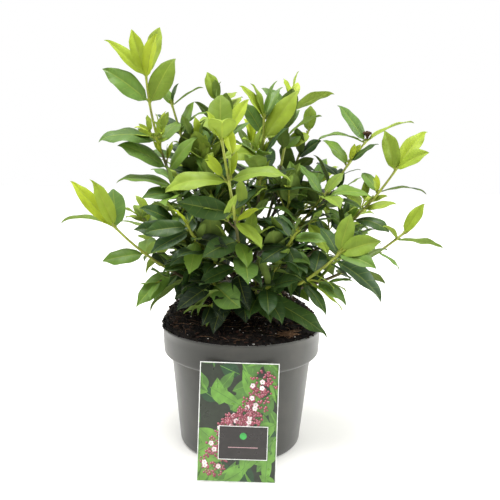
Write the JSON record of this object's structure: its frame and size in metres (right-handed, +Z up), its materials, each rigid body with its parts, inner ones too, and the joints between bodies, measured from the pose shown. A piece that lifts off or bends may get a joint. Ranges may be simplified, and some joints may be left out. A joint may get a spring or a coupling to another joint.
{
  "type": "potted laurustinus shrub",
  "caption": "Young evergreen laurustinus shrub with lime green shoot tips over dark inner leaves, in a round grey nursery pot with a picture card leaning on its front.",
  "frame": {"origin": "middle of the pot's flat underside, on the floor that the pot stands on", "axes": "+Z up; the picture card leans on the pot's -Y side, and +X is to the right seen from the card"},
  "size_m": [0.4225, 0.3238, 0.4892],
  "materials": {
    "pot_plastic": "satin",
    "peat": "matte",
    "card": "gloss",
    "bark": "matte",
    "shoot_wood": "satin",
    "young_leaves": "satin",
    "grown_leaves": "satin",
    "mature_leaves": "satin"
  },
  "bodies": {
    "root": {"pot": "pot_plastic", "soil": "peat", "picture_card": "card", "trunk": "bark", "bough_left_tall": "shoot_wood", "bough_front_bright": "shoot_wood", "bough_centre_tall": "shoot_wood", "bough_right_bright": "shoot_wood", "bough_left_low": "shoot_wood", "bough_right_front": "shoot_wood", "bough_right_fruit": "shoot_wood", "bough_right_low": "shoot_wood", "bough_back_right": "shoot_wood", "bough_back_left": "shoot_wood", "bough_left_second": "shoot_wood", "bough_back_bud": "shoot_wood", "bough_right_inner": "shoot_wood", "bough_left_mid": "shoot_wood", "bough_rear_tall": "shoot_wood", "bough_rear_left": "shoot_wood", "bough_rear_right": "shoot_wood", "bough_left_rear": "shoot_wood", "bough_right_rear": "shoot_wood", "bough_front_right_mid": "shoot_wood", "bough_front_left_mid": "shoot_wood", "leaves_left_tall": "young_leaves", "leaves_front_bright": "young_leaves", "leaves_centre_tall": "grown_leaves", "leaves_right_bright": "young_leaves", "leaves_left_low": "young_leaves", "leaves_right_front": "young_leaves", "leaves_right_fruit": "mature_leaves", "leaves_right_low": "young_leaves", "leaves_back_right": "grown_leaves", "leaves_back_left": "grown_leaves", "leaves_left_second": "grown_leaves", "leaves_back_bud": "grown_leaves", "leaves_right_inner": "mature_leaves", "leaves_left_mid": "mature_leaves", "leaves_back_small": "grown_leaves", "leaves_rear_tall": "mature_leaves", "leaves_rear_left": "mature_leaves", "leaves_rear_right": "mature_leaves", "leaves_left_rear": "mature_leaves", "leaves_right_rear": "mature_leaves", "leaves_rear_low_left": "mature_leaves", "leaves_rear_low_right": "mature_leaves", "leaves_front_right_mid": "mature_leaves", "leaves_front_left_mid": "mature_leaves", "leaves_inner_left": "mature_leaves", "leaves_inner_right": "mature_leaves", "leaves_front_left_low": "mature_leaves", "leaves_front_right_low": "mature_leaves", "leaves_left_foot": "mature_leaves", "leaves_front_foot": "mature_leaves", "leaves_left_front_foot": "mature_leaves", "leaves_right_front_foot": "mature_leaves", "leaves_right_foot": "mature_leaves"}
  },
  "joints": []
}
